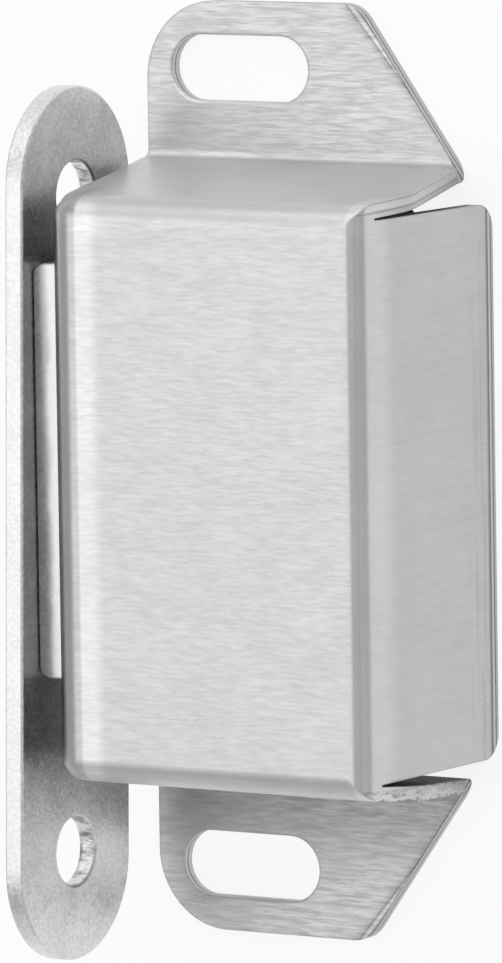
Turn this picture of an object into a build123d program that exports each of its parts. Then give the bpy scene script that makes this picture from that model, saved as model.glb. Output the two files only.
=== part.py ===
from build123d import *
from math import cos, radians, sin, tan
import os

# Magnetic catch for a cabinet door: a casing folded from stainless sheet, a magnet
# between two pole plates inside it, and a strike plate that the poles hold.
# Millimetres. The back of the ears is the mounting face (Z = 0) and the origin lies
# midway between the two slots. +Z points away from the cabinet side, +Y along the
# casing, and the poles look towards -X, where the strike plate comes to rest.

# ---- casing ------------------------------------------------------------------
length = 58.0               # over the two ears
depth = 15.5                # mounting face to the front face
sheet = 0.9                 # sheet thickness
inner_bend = 0.6            # inside radius of the folds
body_height = 35.8          # outside of the two end walls, at the front
body_width = 22.5           # open edge to the outside of the side wall
wall_lean = 5.3             # degrees that each end wall opens towards its ear
slot_to_edge = 6.75         # middle of the slots to the ears' edge beside the door
wall_sweep = 1.9            # ears' edge beside the door to the open edge of the front
ear_root_width = 22.9       # each ear where it leaves its end wall
ear_tip_width = 15.25       # each ear along its outer edge
ear_corner = 4.9            # radius of an ear's corner beside the door
ear_tip_corner = 2.0        # radius of its other corner
slot_offset = 0.42          # each slot outwards from the middle of its ear's flat
slot_length = 9.9
slot_width = 4.1
lip_radius = 2.7            # outside radius of the curled front edge
lip_angle = 48.0            # degrees that the edge curls through
lip_margin = 27.0            # degrees that it is drawn longer before it is trimmed
wall_set_back = 0.55        # open edge of the front to where the end walls' edges begin
wall_hollow = 0.25          # how far those edges curve inwards
lip_end_clearance = 0.8     # end of the curl to the outside of each end wall
relief_depth = 1.6          # front face to where the side wall parts from the end walls
relief_gap = 0.12           # side wall to the end walls where it parts from them
wall_overhang = 0.8         # end walls beyond the outside of the side wall, where they reach furthest
overhang_drop = 3.0         # relief to where they do
overhang_round = 4.0
side_wall_gap = 0.2         # side wall to the mounting face
side_wall_corner = 1.6
edge_break = 0.1            # chamfer around the slots

# ---- magnet and poles --------------------------------------------------------
pole_thickness = 1.5
pole_height = 25.6
pole_shift = 0.85           # poles above the middle of the casing
pole_reach = 2.15           # poles beyond the open edge, towards the strike plate
pole_corner = 0.8
pole_edge = 0.15
magnet_thickness = 5.8
magnet_setback = 3.6        # contact face of the poles to the magnet
magnet_edge = 0.4
fit_gap = 0.2               # clearance of the magnet and poles in the casing
end_gap = 0.6               # clearance behind them, at the side wall

# ---- strike plate ------------------------------------------------------------
strike_length = 54.1
strike_width = 12.1
strike_thickness = 1.3
strike_hole = 4.3
strike_hole_pitch = 40.6
strike_edge = 0.12
hole_breakout = 0.2         # flare of the holes on the side they were punched through to
contact_gap = 0.05          # strike plate to the poles
strike_drop = 2.9           # strike plate below the middle of the casing
strike_turn = 1.75          # degrees that it has turned on the poles
strike_set_in = 6.2         # front face to the middle line of the strike plate

# ---- clearances for the drawing ----------------------------------------------
fold_margin = 0.3           # top of the ears' folds to where the end walls are joined on
trim_margin = 0.1           # height over which two cuts at the curl overlap
wall_step = 0.03            # end of the curl to the top of the end walls' edges
near = 0.01                 # tolerance for picking edges and faces

# ---- places worked out from the sizes above ----------------------------------
outer_bend = inner_bend + sheet
lean = radians(wall_lean)
curl = radians(lip_angle)
inner_front = depth - sheet                 # inside of the front
ear_left = -slot_to_edge
ear_root = ear_left + ear_root_width
ear_tip = ear_left + ear_tip_width
left = ear_left + wall_sweep                # open edge of the front
right = left + body_width                   # outside of the side wall
relief_level = depth - relief_depth
fold_top = outer_bend + fold_margin         # where the end walls are clear of the ears' folds
beyond = 2 * length                         # far outside the part, for cutting


def wall_outside(z):
    """Distance from the middle line to the outside of an end wall at height z."""
    return body_height / 2 + (depth - z) * tan(lean)


def wall_inside(z):
    """Distance from the middle line to the inside of an end wall at height z."""
    return wall_outside(z) - sheet / cos(lean)


def fold_end():
    """Distance from the middle line to where an ear's flat begins."""
    return wall_outside(sheet) + inner_bend


def between_walls(half_width, low, high):
    """Points of the space between the end walls, seen along X."""
    return [
        (-half_width(low), low),
        (-half_width(high), high),
        (half_width(high), high),
        (half_width(low), low),
    ]


def front_edges(candidates, open_end, wall_x):
    """Edges around the front and along the curled edge, but not those across it."""
    above = [edge for edge in candidates if (edge @ 0.5).Z > open_end[1] + near]
    inward = [edge for edge in above if (edge @ 0.5).X > open_end[0]]
    return [edge for edge in inward if abs((edge @ 0.5).Y) > 1 or (edge @ 0.5).X > wall_x - near]


slot_middle = (fold_end() + length / 2) / 2 + slot_offset

# the curled edge is an arc, seen along Y, that ends at the open edge of the front
lip_start = left + lip_radius * sin(curl)


def on_lip(radius, angle):
    """Point of the curled edge, seen along Y, at a radius and angle from where it starts."""
    return (lip_start - radius * sin(angle), depth - lip_radius + radius * cos(angle))


lip_end = on_lip(lip_radius, curl)
lip_inner_end = on_lip(lip_radius - sheet, curl)
lip_beyond = on_lip(lip_radius + 1, curl)
wall_start = on_lip(lip_radius, curl + radians(lip_margin))
lip_half = body_height / 2 - lip_end_clearance
# the end walls are drawn from a tangent of that arc, and trimmed once they are folded
wall_stock = wall_start[0] - (wall_start[1] + 1) / tan(curl + radians(lip_margin))
side_half = wall_inside(relief_level) - relief_gap    # half height of the side wall

# ---- casing ------------------------------------------------------------------
with BuildPart() as hollow:
    # the space inside the folded sheet: between the end walls, seen along X
    with BuildSketch(Plane.YZ.offset(wall_stock - 2)):
        with BuildLine():
            Polyline(*between_walls(wall_inside, -1, inner_front), close=True)
        make_face()
    extrude(amount=right - sheet - wall_stock + 2)
    # and under the curled edge, seen along Y
    with BuildSketch(Plane.XZ.offset(-length)):
        with BuildLine():
            Polyline((lip_start, inner_front), (lip_start, depth + 1), (lip_beyond[0], depth + 1), lip_beyond,
                     lip_inner_end)
            RadiusArc(lip_inner_end, (lip_start, inner_front), lip_radius - sheet)
        make_face()
    extrude(amount=beyond, mode=Mode.SUBTRACT)
    fillet(front_edges(edges(), lip_inner_end, right - sheet), inner_bend)

with BuildPart() as casing:
    with BuildSketch(Plane.YZ.offset(wall_stock - 1)):
        with BuildLine():
            Polyline(*between_walls(wall_outside, 0, depth), close=True)
        make_face()
    extrude(amount=right - wall_stock + 1)
    # curled edge, with the end walls' edges still to be trimmed
    with BuildSketch(Plane.XZ.offset(-length)):
        with BuildLine():
            Polyline((lip_start, depth), (lip_start, depth + 1), (-beyond, depth + 1), (-beyond, -1),
                     (wall_stock, -1), wall_start)
            RadiusArc(wall_start, (lip_start, depth), lip_radius)
        make_face()
    extrude(amount=beyond, mode=Mode.SUBTRACT)
    fillet(front_edges(edges(), wall_start, right), outer_bend)
    add(hollow.part, mode=Mode.SUBTRACT)

    # the end walls' edges are set back from the curl, which is cut off towards them
    wall_top = lip_end[1] + wall_step
    wall_middle = (
        (left + wall_set_back + ear_left) / 2 + wall_hollow,
        (wall_top + fold_top) / 2,
    )
    for start in (-length, lip_half):
        with BuildSketch(Plane.XZ.offset(start)):
            with BuildLine():
                ThreePointArc((left + wall_set_back, wall_top), wall_middle, (ear_left, fold_top))
                Polyline((ear_left, fold_top), (wall_stock - 2, fold_top), (wall_stock - 2, wall_top),
                         (left + wall_set_back, wall_top))
            make_face()
        extrude(amount=length - lip_half, mode=Mode.SUBTRACT)
    with BuildSketch(Plane.XY.offset(wall_top - trim_margin)):
        with BuildLine():
            Polyline((wall_stock, lip_half), (left, lip_half), (left + wall_set_back, body_height / 2),
                     (left + wall_set_back, length / 2), (wall_stock, length / 2), close=True)
        make_face()
        mirror(about=Plane.XZ)
    extrude(amount=depth, mode=Mode.SUBTRACT)

    # the side wall stands free of both end walls and of the mounting face
    with BuildSketch(Plane.YZ.offset(right - outer_bend)):
        with BuildLine():
            Polyline(*between_walls(wall_inside, -1, relief_level), close=True)
        make_face()
        with Locations((0, side_wall_gap)):
            Rectangle(2 * side_half, depth, align=(Align.CENTER, Align.MIN), mode=Mode.SUBTRACT)
    extrude(amount=2 * outer_bend, mode=Mode.SUBTRACT)
    at_gap = (side_wall_gap - near, side_wall_gap + near)
    fillet(edges().filter_by(Axis.X).filter_by_position(Axis.Z, *at_gap), side_wall_corner)

    # the end walls reach past it near the front, and slant back towards the ears
    with BuildSketch(Plane.YZ.offset(right - outer_bend)):
        with BuildLine():
            Polyline((wall_inside(fold_top), fold_top), (wall_outside(fold_top), fold_top),
                     (wall_outside(relief_level), relief_level), (wall_inside(relief_level), relief_level),
                     close=True)
        make_face()
        mirror(about=Plane.YZ)
    extrude(amount=outer_bend + wall_overhang)
    overhang = (right + wall_overhang, relief_level - overhang_drop)
    for start in (-length, side_half + relief_gap / 2):
        with BuildSketch(Plane.XZ.offset(start)):
            with BuildLine():
                Polyline((right, relief_level), (right + length, relief_level), (right + length, -1),
                         (ear_root, -1), (ear_root, fold_top), overhang, close=True)
            make_face()
            fillet(vertices().sort_by_distance(overhang)[0], overhang_round)
        extrude(amount=length - side_half - relief_gap / 2, mode=Mode.SUBTRACT)

    # ears and the folds that carry them: the end walls stop at the folds
    for side in (-1, 1):
        with BuildSketch(Plane.XY.offset(-1)):
            with Locations((0, side * (side_half + relief_gap / 2 + length / 2))):
                Rectangle(beyond, length)
        extrude(amount=fold_top + 1, mode=Mode.SUBTRACT)
    with BuildSketch(Plane.YZ.offset(ear_left)):
        with BuildLine():
            Polyline((wall_inside(0), 0), (wall_inside(fold_top), fold_top), (wall_outside(fold_top), fold_top),
                     (wall_outside(sheet), sheet), (length / 2, sheet), (length / 2, 0), close=True)
        make_face()
        fillet(vertices().sort_by_distance((wall_inside(0), 0))[0], outer_bend)
        fillet(vertices().sort_by_distance((wall_outside(sheet), sheet))[0], inner_bend)
        mirror(about=Plane.YZ)
    extrude(amount=ear_root_width)

    # outline of the ears, and their slots
    root, tip = (ear_root, wall_inside(fold_top)), (ear_tip, length / 2)
    past_tip = (2 * tip[0] - root[0], 2 * tip[1] - root[1])
    with BuildSketch(Plane.XY.offset(-1)):
        with BuildLine():
            Polyline(root, past_tip, (right + 1, past_tip[1]), (right + 1, root[1]), close=True)
        make_face()
        mirror(about=Plane.XZ)
        with Locations((0, slot_middle), (0, -slot_middle)):
            SlotOverall(slot_length, slot_width)
    extrude(amount=fold_top + 1, mode=Mode.SUBTRACT)
    for side in (-1, 1):
        for x, radius in ((ear_left, ear_corner), (ear_tip, ear_tip_corner)):
            corner = edges().filter_by(Axis.Z).sort_by_distance((x, side * length / 2, sheet / 2))[0]
            fillet(corner, radius)
    ear_faces = faces().filter_by(Plane.XY).filter_by_position(Axis.Z, sheet - near, sheet + near)
    slot_rims = [edge for face in ear_faces for wire in face.inner_wires() for edge in wire.edges()]
    chamfer(slot_rims, edge_break)
casing.part.label = "casing"

# ---- magnet and poles --------------------------------------------------------
# seen along X they are stacked behind the curled edge, the front pole under its inner end
pole_front = lip_inner_end[1] - fit_gap
magnet_front = pole_front - pole_thickness
magnet_back = magnet_front - magnet_thickness
pole_back = magnet_back - pole_thickness
contact = left - pole_reach                 # where the poles end
stack_right = right - sheet - end_gap
magnet_half = wall_inside(magnet_front) - fit_gap

with BuildPart() as magnet:
    with BuildSketch(Plane.XY.offset(magnet_back)):
        with Locations((contact + magnet_setback, 0)):
            Rectangle(stack_right - contact - magnet_setback, 2 * magnet_half,
                      align=(Align.MIN, Align.CENTER))
    extrude(amount=magnet_thickness)
    chamfer(edges().filter_by(Axis.Z), magnet_edge)
magnet.part.label = "magnet"

with BuildPart() as front_pole_plate:
    with BuildSketch(Plane.XY.offset(magnet_front)):
        with Locations((contact, pole_shift)):
            Rectangle(stack_right - contact, pole_height, align=(Align.MIN, Align.CENTER))
        fillet(vertices(), pole_corner)
    extrude(amount=pole_thickness)
    fillet(edges().group_by(Axis.Z)[-1], pole_edge)
front_pole_plate.part.label = "front_pole_plate"

with BuildPart() as back_pole_plate:
    with BuildSketch(Plane.XY.offset(pole_back)):
        with Locations((contact, pole_shift)):
            Rectangle(stack_right - contact, pole_height, align=(Align.MIN, Align.CENTER))
        fillet(vertices(), pole_corner)
    extrude(amount=pole_thickness)
    fillet(edges().group_by(Axis.Z)[0], pole_edge)
back_pole_plate.part.label = "back_pole_plate"

# ---- strike plate ------------------------------------------------------------
turn = radians(strike_turn)
strike_plane = Plane(
    origin=(contact - contact_gap, -strike_drop, depth - strike_set_in),
    x_dir=(0, -cos(turn), sin(turn)),
    z_dir=(-1, 0, 0),
)
with BuildPart() as strike_plate:
    with BuildSketch(strike_plane):
        SlotOverall(strike_length, strike_width)
        with Locations((-strike_hole_pitch / 2, 0), (strike_hole_pitch / 2, 0)):
            Circle(strike_hole / 2, mode=Mode.SUBTRACT)
    extrude(amount=strike_thickness)
    rims = edges().filter_by(GeomType.CIRCLE)
    hole_rims = [edge for edge in rims if edge.radius < strike_width / 4]
    back_rims = [edge for edge in hole_rims if edge.center().X < contact - strike_thickness / 2]
    chamfer(back_rims, hole_breakout)
    outer_rims = [edge for edge in edges() if edge.length > strike_width]
    chamfer(outer_rims, strike_edge)
strike_plate.part.label = "strike_plate"

# ---- one STEP file for each piece ----------------------------------------------
os.makedirs("parts", exist_ok=True)
export_step(casing.part, "parts/casing.step")
export_step(magnet.part, "parts/magnet.step")
export_step(front_pole_plate.part, "parts/front_pole_plate.step")
export_step(back_pole_plate.part, "parts/back_pole_plate.step")
export_step(strike_plate.part, "parts/strike_plate.step")
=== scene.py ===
from math import cos, radians, sin

import bpy
from mathutils import Matrix, Vector


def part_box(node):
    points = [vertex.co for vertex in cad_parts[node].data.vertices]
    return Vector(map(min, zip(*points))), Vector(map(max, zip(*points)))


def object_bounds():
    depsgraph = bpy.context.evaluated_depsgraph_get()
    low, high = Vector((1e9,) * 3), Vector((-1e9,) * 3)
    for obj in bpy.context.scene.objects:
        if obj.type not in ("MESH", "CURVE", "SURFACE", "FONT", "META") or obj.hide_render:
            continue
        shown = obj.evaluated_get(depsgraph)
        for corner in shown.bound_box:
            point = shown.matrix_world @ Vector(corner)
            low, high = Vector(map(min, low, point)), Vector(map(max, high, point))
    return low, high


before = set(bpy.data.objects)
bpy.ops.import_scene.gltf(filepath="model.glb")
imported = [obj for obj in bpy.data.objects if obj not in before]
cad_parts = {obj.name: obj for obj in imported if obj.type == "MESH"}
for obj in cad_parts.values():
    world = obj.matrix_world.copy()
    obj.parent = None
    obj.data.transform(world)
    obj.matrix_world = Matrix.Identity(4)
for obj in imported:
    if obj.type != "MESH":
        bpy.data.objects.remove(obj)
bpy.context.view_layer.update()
scene = bpy.context.scene
MM = 0.001

# ---- places on the casing, in metres -------------------------------------------
casing_low, casing_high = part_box("casing")
FRONT = casing_high.z                    # front face
LIP = casing_low.x + 1.9 * MM            # open edge of the front
RIGHT = LIP + 22.5 * MM                  # outside of the side wall
EAR_TOP = 0.92 * MM                      # front of the ears' sheet
EAR_TIP = casing_low.x + 15.25 * MM      # where the ears' slanted edges meet their outer edges
EAR_END = casing_high.y                  # outer edges of the ears
SLANT = (0.765, 0.644)                   # across the slanted edges, outwards, along X and Y
WALL_OUT = 17.9 * MM                     # middle to the outside of an end wall, at the front
WALL_SPREAD = 0.0928                     # how much further out it is per distance from the front
WALL_END = 17.3 * MM                     # from here outwards, +X faces are the end walls' cut edges
SHEET = 0.95 * MM                        # across a cut edge

# ---- grey levels and roughness ----------------------------------------------------
CASING_TONE, EAR_TONE, STRIKE_TONE, POLE_TONE = 0.57, 0.7, 0.76, 0.6
FRONT_ROUGH, EAR_ROUGH, STRIKE_ROUGH, POLE_ROUGH = 0.34, 0.55, 0.4, 0.3
SIDE_PAINTED_SHADE = 0.92                       # painted shade: the side wall darker than the rest of the casing

# ---- light: place, width, height, watts -------------------------------------------
LAMPS = {
    "key": ((-0.4, 0.0, 0.92), 0.6, 1.2, 2.6),
    "above": ((0.0, 0.8, 0.6), 1.3, 0.9, 5.0),
    "left_above": ((-0.5, 0.8, 0.3), 0.5, 0.5, 0.1),
    "right": ((0.8, -0.4, 0.35), 0.5, 0.6, 0.5),
    "near": ((0.45, 0.3, 0.85), 0.35, 0.35, 0.3),
    "left_below": ((-0.5, -0.8, 0.3), 0.5, 0.5, 0.28),
}
LAMPS_AIM = Vector((0.006, 0.0, 0.008))
WORLD_STRENGTH = 0.42
FLOOR_SIZE = 6
FLOOR_TONE = 0.92
FLOOR_WHITE = 0.88                       # share of plain white that camera and glossy rays see
HOLLOW_WHITE = 0.08                      # the same under the casing, for glossy rays: painted shade of the hollow there

# ---- camera -----------------------------------------------------------------------
TURNED, RAISED, ROLLED = radians(32.337), radians(6.287), radians(-0.861)
DISTANCE, LENS = 0.6, 245.96
CAMERA_AIM = Vector((6.493, 0.49, 10.5)) * MM


# ---- small helpers for node trees --------------------------------------------------
class Tree:
    """A node tree under construction, with short calls for the nodes used here."""

    def __init__(self, owner):
        owner.use_nodes = True
        self.tree = owner.node_tree
        self.tree.nodes.clear()

    def node(self, kind, inputs=(), **settings):
        made = self.tree.nodes.new(kind)
        for name, value in settings.items():
            setattr(made, name, value)
        for key, value in dict(inputs).items():
            self.set(made.inputs[key], value)
        return made

    def set(self, socket, value):
        if isinstance(value, bpy.types.NodeSocket):
            self.tree.links.new(value, socket)
        else:
            socket.default_value = value

    def math(self, operation, a, b=0.0, clamp=False):
        return self.node("ShaderNodeMath", {0: a, 1: b}, operation=operation, use_clamp=clamp).outputs[0]

    def times(self, a, b):
        return self.math("MULTIPLY", a, b)

    def add(self, a, b):
        return self.math("ADD", a, b)

    def minus(self, a, b):
        return self.math("SUBTRACT", a, b)

    def size_of(self, a):
        return self.math("ABSOLUTE", a)

    def ramp(self, value, low, high, to_low=0.0, to_high=1.0, straight=False):
        """Runs from to_low where value is low to to_high where it is high."""
        made = self.node("ShaderNodeMapRange", {
            "Value": value, "From Min": low, "From Max": high, "To Min": to_low, "To Max": to_high})
        made.interpolation_type = "LINEAR" if straight else "SMOOTHSTEP"
        return made.outputs[0]

    def factor(self, mask, at_one):
        """1 where the mask is 0, at_one where it is 1."""
        return self.ramp(mask, 0.0, 1.0, 1.0, at_one)

    def blend(self, amount, a, b):
        """a where amount is 0, b where it is 1."""
        return self.node("ShaderNodeMix", {"Factor": amount, 2: a, 3: b}, data_type="FLOAT").outputs[0]

    def steps(self, value, stops):
        """Levels at places from 0 to 1, with straight changes between them."""
        made = self.node("ShaderNodeValToRGB", {"Fac": value})
        bar = made.color_ramp.elements
        while len(bar) < len(stops):
            bar.new(0.5)
        for stop, (at, _) in zip(bar, stops):
            stop.position = at
        for stop, (_, tone) in zip(bar, stops):
            stop.color = (tone, tone, tone, 1)
        return made.outputs["Color"]

    def scaled(self, vector, scale):
        return self.node("ShaderNodeVectorMath", {0: vector, 1: scale}, operation="MULTIPLY").outputs[0]

    def vector(self, x=0.0, y=0.0, z=0.0):
        return self.node("ShaderNodeCombineXYZ", {0: x, 1: y, 2: z}).outputs[0]

    def parts(self, vector):
        return self.node("ShaderNodeSeparateXYZ", {0: vector}).outputs[:3]

    def coordinates(self, kind):
        return self.node("ShaderNodeTexCoord").outputs[kind]

    def noise(self, vector, scale=1.0, detail=3.0, roughness=0.55):
        made = self.node("ShaderNodeTexNoise", {
            "Vector": vector, "Scale": scale, "Detail": detail, "Roughness": roughness})
        return made.outputs["Fac"]

    def grey(self, value):
        return self.node("ShaderNodeCombineColor", {"Red": value, "Green": value, "Blue": value}).outputs[0]

    def bump(self, height, strength, rounding):
        """Height in metres, over edges that look rounded by the given radius."""
        edge = self.node("ShaderNodeBevel", {"Radius": rounding}, samples=4).outputs[0]
        return self.node("ShaderNodeBump", {
            "Height": height, "Distance": 1.0, "Strength": strength, "Normal": edge}).outputs[0]

    def surface(self, inputs):
        shader = self.node("ShaderNodeBsdfPrincipled", inputs)
        self.node("ShaderNodeOutputMaterial", {"Surface": shader.outputs[0]})


def lines_along_x(t, place, across, along):
    """Short, slightly wavy streaks; across and along are repeats per metre."""
    drift = t.ramp(t.noise(t.scaled(place, (170, 420, 420)), 1.0, 2.0), 0.0, 1.0, -0.6, 0.6)
    moved = t.node("ShaderNodeVectorMath", {
        0: t.scaled(place, (along, across, across)), 1: t.vector(0.0, drift, drift)},
        operation="ADD").outputs[0]
    return t.noise(moved, 1.0, 3.0, 0.62)


def lines_along_z(t, place, across, along):
    """Streaks for the side wall."""
    return t.noise(t.scaled(place, (across, across, along)), 1.0, 3.0, 0.62)


# ---- the casing's material ---------------------------------------------------------
def face_tone(t, place, masks, streak, broad):
    """The sheet away from the ears and the cut edges."""
    x, y, z = t.parts(place)
    on_face, on_side = masks["face"], masks["side"]
    tone = t.ramp(streak, 0.3, 0.7, CASING_TONE - 0.02, CASING_TONE + 0.02)
    cloud = t.noise(place, 260, 2.0, 0.5)
    tone = t.add(tone, t.ramp(cloud, 0.3, 0.7, -0.012, 0.012))
    # painted highlight: brighter beside the open edge, and in a broken strip below the upper fold
    painted_highlight_by_open_edge = t.times(on_face, t.ramp(x, LIP + 4.2 * MM, LIP + 2.6 * MM))
    tone = t.times(tone, t.factor(painted_highlight_by_open_edge, 1.24))
    strip = t.times(t.ramp(y, 15.6 * MM, 16.3 * MM), t.ramp(y, 17.2 * MM, 16.8 * MM))
    painted_highlight_below_fold = t.times(t.times(on_face, strip), t.ramp(broad, 0.35, 0.55))
    tone = t.times(tone, t.factor(painted_highlight_below_fold, 1.06))
    # fine lines on the side wall, towards its back edge
    hairlines = t.ramp(t.noise(t.scaled(place, (900, 90, 2600)), 1.0, 3.0), 0.46, 0.38)
    worn = t.times(t.ramp(z, 5 * MM, 1 * MM), hairlines)
    return t.times(tone, t.factor(t.times(on_side, worn), 0.88))


def ear_tone(t, place, ear_lines):
    """The ears' faces: coarse brushing, with painted shade and painted highlights by place."""
    x, y, _ = t.parts(place)
    tone = t.ramp(ear_lines, 0.36, 0.64, EAR_TONE - 0.085, EAR_TONE + 0.065)
    # painted shade: the lower ear darkens towards its fold
    lower = t.ramp(y, 0.0, -1 * MM)
    ragged_y = t.add(y, t.ramp(ear_lines, 0.4, 0.6, -0.5 * MM, 0.5 * MM))
    painted_shade_towards_fold = t.ramp(ragged_y, -26 * MM, -20.3 * MM, 1.0, 0.68)
    tone = t.times(tone, t.blend(lower, 1.0, painted_shade_towards_fold))
    # painted highlight: the upper ear is lighter beside the strike plate
    painted_highlight_by_strike = t.times(t.ramp(x, 4 * MM, -3 * MM), t.ramp(y, 26 * MM, 22 * MM))
    tone = t.times(tone, t.factor(t.times(painted_highlight_by_strike, t.factor(lower, 0.0)), 1.14))
    # painted shade and highlight: dark and light lines where shearing drew the face down beside the slanted
    # edge
    along_x = t.times(t.minus(x, EAR_TIP), SLANT[0])
    along_y = t.times(t.minus(t.size_of(y), EAR_END), SLANT[1])
    rollover_painted_shading = t.steps(t.ramp(t.add(along_x, along_y), -1.4 * MM, 0.0, straight=True), [
        (0.0, 1.0), (0.3, 0.95), (0.55, 0.78), (0.62, 0.48),
        (0.68, 0.95), (0.8, 1.1), (0.86, 0.7), (1.0, 0.6)])
    return t.times(tone, rollover_painted_shading)


def ear_cut_tone(t, z, fine):
    """Sheared edges, from the back of the ear to its front: partly the sheared face's own torn and
    burnished bands, partly painted shade and highlight of its rounded front corner.
    """
    ragged_z = t.add(z, t.ramp(fine, 0.3, 0.7, -0.02 * MM, 0.02 * MM))
    return t.steps(t.ramp(ragged_z, 0.0, EAR_TOP, straight=True), [
        (0.0, 0.58), (0.42, 0.62), (0.5, 0.22), (0.56, 0.24),
        (0.64, 0.66), (0.84, 0.66), (0.92, 0.2), (1.0, 0.3)])


def wall_cut_tone(t, y, z, on_torn, torn):
    """Cut edges of the end walls, from their outside inwards; the lower one is ragged. The bands are partly
    the cut face's own finish, partly painted shade along its rounded corners.
    """
    outside = t.add(t.times(t.minus(FRONT, z), WALL_SPREAD), WALL_OUT)
    inwards = t.minus(outside, t.size_of(y))
    ragged = t.times(on_torn, t.ramp(torn, 0.3, 0.7, -0.3 * MM, 0.3 * MM))
    return t.steps(t.ramp(t.add(inwards, ragged), 0.0, SHEET, straight=True), [
        (0.0, 0.3), (0.1, 0.56), (0.42, 0.62), (0.52, 0.5),
        (0.6, 0.26), (0.68, 0.5), (0.9, 0.5), (1.0, 0.25)])


def scratches(t, place):
    """A few fine scratches, slanting across the brushing."""
    x, y, z = t.parts(place)
    flat = t.add(x, z)
    along = t.add(t.times(flat, 240.0), t.times(y, 180.0))
    across = t.add(t.times(y, 5600.0), t.times(flat, -4200.0))
    hairs = t.noise(t.vector(along, across), 1.0, 1.0)
    patches = t.ramp(t.noise(place, 170, 1.0), 0.56, 0.66)
    return t.times(patches, t.ramp(hairs, 0.70, 0.76))


def casing_masks(t, place, normal):
    """Where on the sheet: 1 on each place and 0 off it."""
    x, y, z = t.parts(place)
    nx, _, nz = t.parts(normal)
    far_y = t.size_of(y)
    ear = t.ramp(z, EAR_TOP + 0.3 * MM, EAR_TOP)
    wall_cut = t.times(t.ramp(nx, 0.5, 0.7), t.ramp(far_y, WALL_END, WALL_END + 0.2 * MM))
    wall_cut = t.times(wall_cut, t.ramp(z, EAR_TOP + 0.2 * MM, EAR_TOP + 0.5 * MM))
    return {
        "side": t.ramp(nx, 0.6, 0.8),
        "ear": ear,
        "ear_cut": t.times(ear, t.ramp(t.size_of(nz), 0.6, 0.3)),
        "face": t.ramp(z, FRONT - 0.8 * MM, FRONT - 0.3 * MM),
        "wall_cut": wall_cut,
        "torn": t.times(wall_cut, t.ramp(y, 0.0, -1 * MM)),
        "curl": t.times(t.ramp(x, LIP + 2.15 * MM, LIP + 2.0 * MM),
                        t.ramp(z, FRONT - 4 * MM, FRONT - 3.5 * MM)),
        "painted_highlight_side_fold": t.times(t.ramp(x, RIGHT - 1.4 * MM, RIGHT - 0.9 * MM),
                             t.ramp(z, FRONT - 4.6 * MM, FRONT - 1.4 * MM)),
    }


def stainless(name):
    """Brushed stainless sheet: finer on the front, coarser and duller on the ears."""
    material = bpy.data.materials.new(name)
    t = Tree(material)
    place, normal = t.coordinates("Object"), t.coordinates("Normal")
    x, y, z = t.parts(place)
    masks = casing_masks(t, place, normal)

    # brushing
    fine = t.blend(masks["side"], lines_along_x(t, place, 6500, 800), lines_along_z(t, place, 5200, 600))
    broad = t.blend(masks["side"], lines_along_x(t, place, 2600, 420), lines_along_z(t, place, 1400, 160))
    streak = t.add(t.times(fine, 0.7), t.times(broad, 0.3))
    ear_lines = t.add(t.times(lines_along_x(t, place, 8200, 700), 0.6),
                      t.times(lines_along_x(t, place, 3300, 380), 0.4))
    torn = t.noise(t.scaled(place, (1500, 2600, 900)), 1.0, 4.0, 0.7)
    scratch = scratches(t, place)

    # grey level
    tone = face_tone(t, place, masks, streak, broad)
    tone = t.blend(masks["ear"], tone, ear_tone(t, place, ear_lines))
    tone = t.blend(masks["ear_cut"], tone, ear_cut_tone(t, z, fine))
    tone = t.blend(masks["wall_cut"], tone, wall_cut_tone(t, y, z, masks["torn"], torn))
    tone = t.times(tone, t.factor(scratch, 0.82))
    # painted shade: a darker strip across the curl of the open edge
    painted_shade_on_curl = t.steps(t.ramp(x, LIP, LIP + 2.1 * MM, straight=True), [
        (0.0, 1.0), (0.3, 1.0), (0.55, 0.9), (0.75, 0.8), (0.9, 0.76), (1.0, 0.85)])
    tone = t.times(tone, t.blend(masks["curl"], 1.0, painted_shade_on_curl))
    # painted highlight: lighter where the side wall leaves its fold with the front
    tone = t.times(tone, t.factor(masks["painted_highlight_side_fold"], 1.16))
    # painted shade on the side wall
    tone = t.times(tone, t.factor(masks["side"], SIDE_PAINTED_SHADE))

    # roughness and relief
    rough = t.ramp(streak, 0.3, 0.7, FRONT_ROUGH + 0.05, FRONT_ROUGH - 0.05)
    ear_rough = t.ramp(ear_lines, 0.36, 0.64, EAR_ROUGH + 0.06, EAR_ROUGH - 0.06)
    relief = t.add(t.times(streak, 0.002 * MM), t.times(t.times(masks["ear"], ear_lines), 0.006 * MM))
    relief = t.add(relief, t.times(t.times(masks["torn"], torn), 0.12 * MM))
    relief = t.add(relief, t.times(scratch, -0.004 * MM))

    # across the brushing, within the surface: along Y, and along Z on the end walls
    ny = t.parts(normal)[1]
    rise = t.math("SQRT", t.math("SUBTRACT", 1.0, t.times(ny, ny), clamp=True))
    t.surface({
        "Base Color": t.grey(tone), "Metallic": 1.0, "Roughness": t.blend(masks["ear"], rough, ear_rough),
        "Anisotropic": t.ramp(masks["ear"], 0.0, 1.0, 0.7, 0.3),
        "Tangent": t.vector(0.0, rise, t.times(ny, -1.0)), "Normal": t.bump(relief, 0.5, 0.2 * MM)})
    return material


# ---- the other materials -------------------------------------------------------------
def hole_walls(t, place, normal, box):
    """1 inside the strike plate's two holes, found from the middle of its box."""
    _, y, z = t.parts(place)
    nx = t.parts(normal)[0]
    centre = (box[0] + box[1]) / 2
    inside = t.ramp(t.size_of(t.minus(z, centre.z)), 3.4 * MM, 3.2 * MM)
    inside = t.times(inside, t.ramp(t.size_of(t.minus(y, centre.y)), 24 * MM, 23.8 * MM))
    return t.times(inside, t.ramp(t.size_of(nx), 0.8, 0.6))


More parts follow.
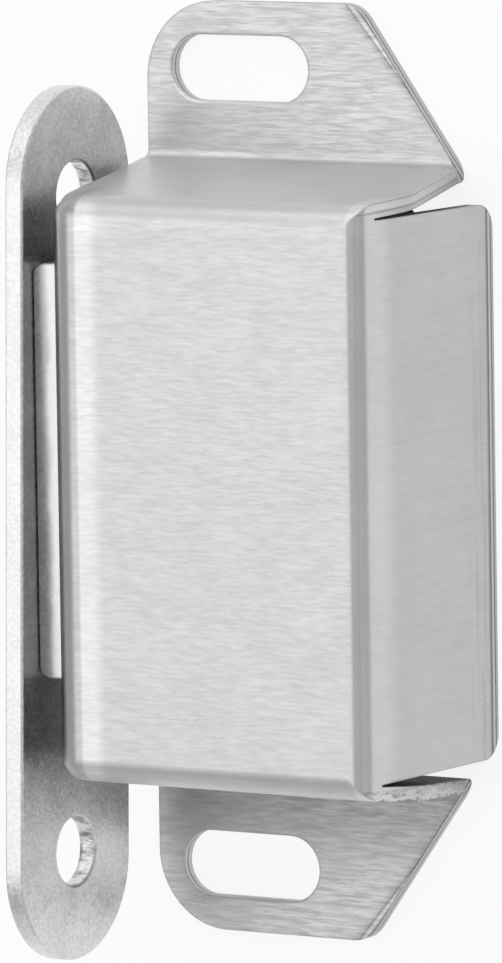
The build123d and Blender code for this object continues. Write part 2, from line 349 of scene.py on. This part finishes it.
def grainy(name, tone, roughness, grain, depth, contrast, holes_in=None, painted_shade_from=None):
    """Plated or blasted metal with an even grain.

    holes_in is the box of a plate whose punched holes are torn inside, and painted_shade_from the X of a
    contact face beside which a strip of painted shade darkens the plating.
    """
    material = bpy.data.materials.new(name)
    t = Tree(material)
    place, normal = t.coordinates("Object"), t.coordinates("Normal")
    fine = t.noise(place, grain, 2.0, 0.6)
    cloud = t.noise(place, grain / 9, 3.0, 0.6)
    mixed = t.add(t.times(fine, 0.65), t.times(cloud, 0.35))
    shade = t.ramp(mixed, 0.38, 0.62, tone - contrast, tone + contrast)
    relief = t.times(mixed, depth)
    if painted_shade_from is not None:
        # painted shade: a darker strip beside the contact face
        ragged_x = t.add(t.parts(place)[0], t.ramp(cloud, 0.3, 0.7, -0.15 * MM, 0.15 * MM))
        shade = t.times(shade, t.ramp(ragged_x, painted_shade_from + 0.7 * MM, painted_shade_from + 1.3 * MM, 0.66, 1.05))
    if holes_in:
        inside = hole_walls(t, place, normal, holes_in)
        torn = t.noise(t.scaled(place, (500, 1300, 1300)), 1.0, 4.0, 0.7)
        shade = t.blend(inside, shade, t.ramp(torn, 0.36, 0.56, 0.3, 0.85))
        relief = t.add(relief, t.times(t.times(inside, torn), 0.2 * MM))
    t.surface({
        "Base Color": t.grey(shade), "Metallic": 1.0,
        "Roughness": t.ramp(mixed, 0.35, 0.65, roughness - 0.05, roughness + 0.05),
        "Normal": t.bump(relief, 0.6, 0.12 * MM)})
    return material


def ferrite():
    """Sintered ferrite: nearly black, matt, with a powdery grain."""
    material = bpy.data.materials.new("ferrite")
    t = Tree(material)
    fine = t.noise(t.coordinates("Object"), 5000, 3.0, 0.6)
    bump = t.node("ShaderNodeBump", {"Height": fine, "Distance": 0.02 * MM, "Strength": 0.5})
    t.surface({
        "Base Color": t.grey(t.ramp(fine, 0.3, 0.7, 0.018, 0.035)),
        "Roughness": t.ramp(fine, 0.3, 0.7, 0.9, 0.75), "Normal": bump.outputs[0]})
    return material


def pole_plating(name, node):
    return grainy(name, POLE_TONE, POLE_ROUGH, 3000, 0.003 * MM, 0.03, painted_shade_from=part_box(node)[0].x)


looks = {
    "casing": stainless("brushed_stainless"),
    "strike_plate": grainy("grainy_plate", STRIKE_TONE, STRIKE_ROUGH, 4200, 0.05 * MM, 0.09,
                           holes_in=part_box("strike_plate")),
    "front_pole_plate": pole_plating("pole_plating", "front_pole_plate"),
    "back_pole_plate": pole_plating("pole_plating_back", "back_pole_plate"),
    "magnet": ferrite(),
}
for name, material in looks.items():
    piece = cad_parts[name]
    piece.data.materials.clear()
    piece.data.materials.append(material)
    for face in piece.data.polygons:
        face.use_smooth = True

# ---- floor, world and lamps ------------------------------------------------------------
bpy.ops.mesh.primitive_plane_add(size=FLOOR_SIZE)
floor = bpy.context.object
floor.name = "floor"
floor.location = (0, 0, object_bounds()[0].z)
floor_look = bpy.data.materials.new("floor")
t = Tree(floor_look)
x, y, _ = t.parts(t.coordinates("Object"))
rays = t.node("ShaderNodeLightPath").outputs
# mirrored in the metal the floor is white too; under the casing that white is cut, a painted shade of the
# dark hollow there
casing_middle = (casing_low.x + casing_high.x) / 2
beside = t.math("MAXIMUM", t.ramp(t.size_of(t.minus(x, casing_middle)), 9 * MM, 14 * MM),
                t.ramp(t.size_of(y), 17 * MM, 22 * MM))
mirrored = t.times(rays["Is Glossy Ray"], t.ramp(beside, 0.0, 1.0, HOLLOW_WHITE, 1.0))
shown = t.math("MAXIMUM", rays["Is Camera Ray"], mirrored)
paper = t.node("ShaderNodeBsdfDiffuse", {"Color": (FLOOR_TONE, FLOOR_TONE, FLOOR_TONE, 1)})
white = t.node("ShaderNodeEmission", {"Color": (1, 1, 1, 1), "Strength": 1.0})
mixed = t.node("ShaderNodeMixShader", {
    0: t.times(shown, FLOOR_WHITE), 1: paper.outputs[0], 2: white.outputs[0]})
t.node("ShaderNodeOutputMaterial", {"Surface": mixed.outputs[0]})
floor.data.materials.append(floor_look)

world = bpy.data.worlds.new("studio")
scene.world = world
t = Tree(world)
dim = t.node("ShaderNodeBackground", {"Color": (1, 1, 1, 1), "Strength": WORLD_STRENGTH})
bright = t.node("ShaderNodeBackground", {"Color": (1, 1, 1, 1), "Strength": 1.0})
is_camera = t.node("ShaderNodeLightPath").outputs["Is Camera Ray"]
mixed = t.node("ShaderNodeMixShader", {0: is_camera, 1: dim.outputs[0], 2: bright.outputs[0]})
t.node("ShaderNodeOutputWorld", {"Surface": mixed.outputs[0]})

for name, (position, width, height, watts) in LAMPS.items():
    lamp = bpy.data.lights.new(name, "AREA")
    lamp.shape = "RECTANGLE"
    lamp.size, lamp.size_y, lamp.energy = width, height, watts
    softbox = bpy.data.objects.new(name, lamp)
    scene.collection.objects.link(softbox)
    softbox.location = position
    softbox.rotation_euler = (LAMPS_AIM - Vector(position)).to_track_quat("-Z", "Y").to_euler()

# ---- camera, turned towards the side wall and raised a little --------------------------
forward = Vector((-cos(RAISED) * sin(TURNED), -sin(RAISED), -cos(RAISED) * cos(TURNED)))
level = Vector((cos(TURNED), 0, -sin(TURNED)))
upright = level.cross(forward)
right = level * cos(ROLLED) + upright * sin(ROLLED)
up = upright * cos(ROLLED) - level * sin(ROLLED)
lens = bpy.data.cameras.new("camera")
lens.sensor_fit = "VERTICAL"
lens.sensor_height = 24
lens.lens = LENS
lens.clip_start, lens.clip_end = 0.01, 20
camera = bpy.data.objects.new("camera", lens)
scene.collection.objects.link(camera)
axes = Matrix((right, up, -forward)).transposed()
camera.matrix_world = Matrix.Translation(CAMERA_AIM - forward * DISTANCE) @ axes.to_4x4()
scene.camera = camera

scene.view_settings.view_transform = "Standard"
